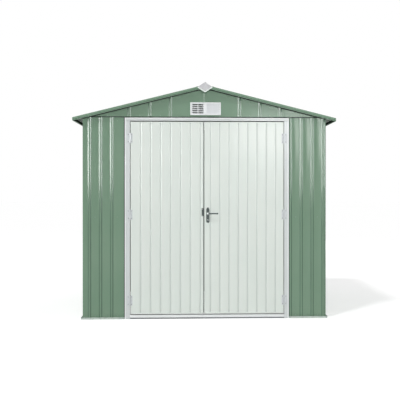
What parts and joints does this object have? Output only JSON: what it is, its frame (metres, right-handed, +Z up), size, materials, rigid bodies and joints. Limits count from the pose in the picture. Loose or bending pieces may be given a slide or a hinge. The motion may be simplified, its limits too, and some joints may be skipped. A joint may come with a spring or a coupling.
{
  "type": "metal storage shed",
  "caption": "Ribbed steel garden store with a low gable roof, gable vents, a pair of hinged doors in a metal frame and a sprung lever handle.",
  "frame": {"origin": "on the ground, in the middle of the shed in plan, at the underside of the base rails", "axes": "+X along the ridge's cross direction, to the right as seen from the doors; +Y from the doors to the back wall; +Z up"},
  "size_m": [2.62, 1.9546, 2.3562],
  "materials": {
    "green_steel": "gloss sage green paint on ribbed sheet",
    "galvanised_steel": "dull galvanised steel",
    "white_plastic": "satin white plastic",
    "grey_plastic": "satin pale grey plastic",
    "frame_silver": "satin silver",
    "hinge_steel": "bright zinc plate",
    "door_steel": "gloss pale mint white paint on grooved sheet",
    "lock_metal": "dark grey metal"
  },
  "bodies": {
    "shell": {"base_rail_front": "galvanised_steel", "base_rail_back": "galvanised_steel", "base_rail_left": "galvanised_steel", "base_rail_right": "galvanised_steel", "corner_posts": "galvanised_steel", "mid_rails": "galvanised_steel", "top_rail_front": "galvanised_steel", "top_rail_back": "galvanised_steel", "top_rails_side": "galvanised_steel", "rafters": "galvanised_steel", "ridge_beam": "galvanised_steel", "purlins": "galvanised_steel", "front_wall_left": "green_steel", "front_wall_right": "green_steel", "left_wall": "green_steel", "right_wall": "green_steel", "back_wall": "green_steel", "front_gable_left": "green_steel", "front_gable_right": "green_steel", "back_gable_left": "green_steel", "back_gable_right": "green_steel", "roof_left": "green_steel", "roof_right": "green_steel", "ridge_cap": "green_steel", "ridge_end_plates": "grey_plastic", "verge_trims_front": "green_steel", "verge_trims_back": "green_steel", "eave_trim_left": "green_steel", "eave_trim_right": "green_steel", "vent_frames": "white_plastic", "vent_grilles": "white_plastic", "vent_shutters": "white_plastic", "door_jamb_left": "frame_silver", "door_jamb_right": "frame_silver", "door_header": "frame_silver", "door_sill": "frame_silver", "jamb_hinges": "hinge_steel", "hinge_pins": "hinge_steel"},
    "left_door": {"left_door_sheet": "door_steel", "left_door_frame": "door_steel", "left_door_hinges": "hinge_steel", "strike_plate": "lock_metal"},
    "right_door": {"right_door_sheet": "door_steel", "right_door_frame": "door_steel", "right_door_hinges": "hinge_steel", "handle_plates": "lock_metal", "latch_bolt": "lock_metal"},
    "lever": {"lever_handle": "lock_metal"}
  },
  "joints": [
    {"name": "left_door_hinge", "type": "hinge", "parent": "shell", "child": "left_door", "pos_m": [-0.743, -0.929, 1], "axis": [0, 0, -1], "range_deg": [0, 110]},
    {"name": "right_door_hinge", "type": "hinge", "parent": "shell", "child": "right_door", "pos_m": [0.791, -0.929, 1], "axis": [0, 0, 1], "range_deg": [0, 110]},
    {"name": "lever_turn", "type": "hinge", "parent": "right_door", "child": "lever", "pos_m": [0.029, -0.924, 1.05], "axis": [0, 1, 0], "range_deg": [0, 45], "stiffness_Nm_per_rad": 1.2, "springref_deg": -20.05}
  ]
}
